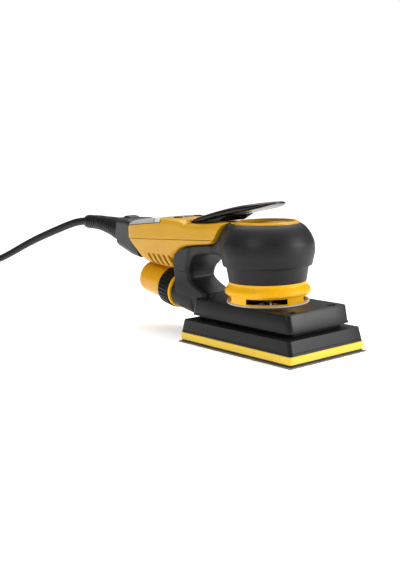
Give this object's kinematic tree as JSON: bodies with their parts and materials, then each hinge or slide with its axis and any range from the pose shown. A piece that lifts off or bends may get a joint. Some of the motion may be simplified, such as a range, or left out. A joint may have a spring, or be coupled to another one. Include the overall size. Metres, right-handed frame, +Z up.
{
  "type": "orbital sander",
  "caption": "Compact electric orbital sander with a rectangular foam-backed pad, paddle switch, finger loop, swivelling dust port and mains lead.",
  "frame": {"origin": "centre of the sanding face under the motor axis", "axes": "+X to the front of the pad, the tail and lead towards -X, +Z up along the motor axis"},
  "size_m": [0.7438, 0.1367, 0.1169],
  "materials": {
    "amber": "satin",
    "yellow": "satin",
    "foam": "matte",
    "grip": "matte",
    "black": "satin",
    "rubber": "matte",
    "grey": "satin",
    "pale": "satin",
    "hook": "matte",
    "net": "matte",
    "steel": "machined",
    "alloy": "cast",
    "copper": "wound",
    "board": "matte",
    "chrome": "polished",
    "lens": "clear"
  },
  "bodies": {
    "housing": {"upper_shell": "amber", "lower_shell": "amber", "grip_shell": "grip", "finger_bridge": "grip", "duct_column": "grip", "vent_ring": "yellow", "gasket_ring": "pale", "shroud": "black", "shroud_seal": "rubber", "motor_can": "alloy", "motor_carrier": "alloy", "stator": "copper", "upper_bearing": "steel", "lower_bearing": "steel", "display_panel": "grey", "led_lens": "lens", "control_board": "board", "cable_socket": "black", "port_ring": "yellow", "lever_pin": "steel", "lever_spring": "steel", "cable_plug": "grey", "cord_boot": "rubber", "cord": "rubber", "cord_coil": "rubber", "mains_plug": "rubber", "plug_pin_1": "chrome", "plug_pin_2": "chrome"},
    "rotor": {"motor_shaft": "steel", "rotor_core": "steel", "fan": "grey", "eccentric_weight": "steel"},
    "pad": {"pad_bearing": "steel", "pad_base": "black", "foam_pad": "foam", "hook_sheet": "hook", "abrasive_sheet": "net", "pad_screw_1": "steel", "pad_screw_2": "steel", "pad_screw_3": "steel", "pad_screw_4": "steel", "rubber_pillar_1": "rubber", "rubber_pillar_2": "rubber", "rubber_pillar_3": "rubber", "rubber_pillar_4": "rubber"},
    "paddle": {"lever": "black", "lever_plunger": "black"},
    "minus_key": {"minus_button": "black"},
    "power_key": {"power_button": "grey"},
    "plus_key": {"plus_button": "black"},
    "latch": {"plug_latch": "black"},
    "collar": {"lock_collar": "black"},
    "tube": {"hose_tube": "amber"}
  },
  "joints": [
    {"name": "spindle_spin", "type": "hinge", "parent": "housing", "child": "rotor", "pos_m": [0, 0, 0.06], "axis": [0, 0, 1], "continuous": true},
    {"name": "pad_orbit", "type": "hinge", "parent": "rotor", "child": "pad", "pos_m": [0.00118, -0.00093, 0.016], "axis": [0, 0, 1], "continuous": true},
    {"name": "lever_press", "type": "hinge", "parent": "housing", "child": "paddle", "pos_m": [-0.075, 0, 0.1003], "axis": [0, 1, 0], "range_deg": [0, 5], "stiffness_Nm_per_rad": 2, "springref_deg": -5.73, "deforming": ["lever_spring"]},
    {"name": "minus_press", "type": "slide", "parent": "housing", "child": "minus_key", "axis": [0, 0, -1], "range_m": [0, 0.0008], "stiffness_N_per_m": 1500, "springref_m": -0.001},
    {"name": "power_press", "type": "slide", "parent": "housing", "child": "power_key", "axis": [0, 0, -1], "range_m": [0, 0.0008], "stiffness_N_per_m": 1500, "springref_m": -0.001},
    {"name": "plus_press", "type": "slide", "parent": "housing", "child": "plus_key", "axis": [0, 0, -1], "range_m": [0, 0.0008], "stiffness_N_per_m": 1500, "springref_m": -0.001},
    {"name": "latch_press", "type": "slide", "parent": "housing", "child": "latch", "axis": [0, 0, -1], "range_m": [0, 0.0015], "stiffness_N_per_m": 1500, "springref_m": -0.001},
    {"name": "collar_turn", "type": "hinge", "parent": "housing", "child": "collar", "pos_m": [-0.1126, 0, 0.03425], "axis": [-0.9864, 0, 0.1644], "range_deg": [0, 40]},
    {"name": "hose_swivel", "type": "hinge", "parent": "housing", "child": "tube", "pos_m": [-0.1126, 0, 0.03425], "axis": [-0.9864, 0, 0.1644], "continuous": true}
  ],
  "couplings": [
    {"joint": "pad_orbit", "follows": "spindle_spin", "ratio": -1}
  ]
}
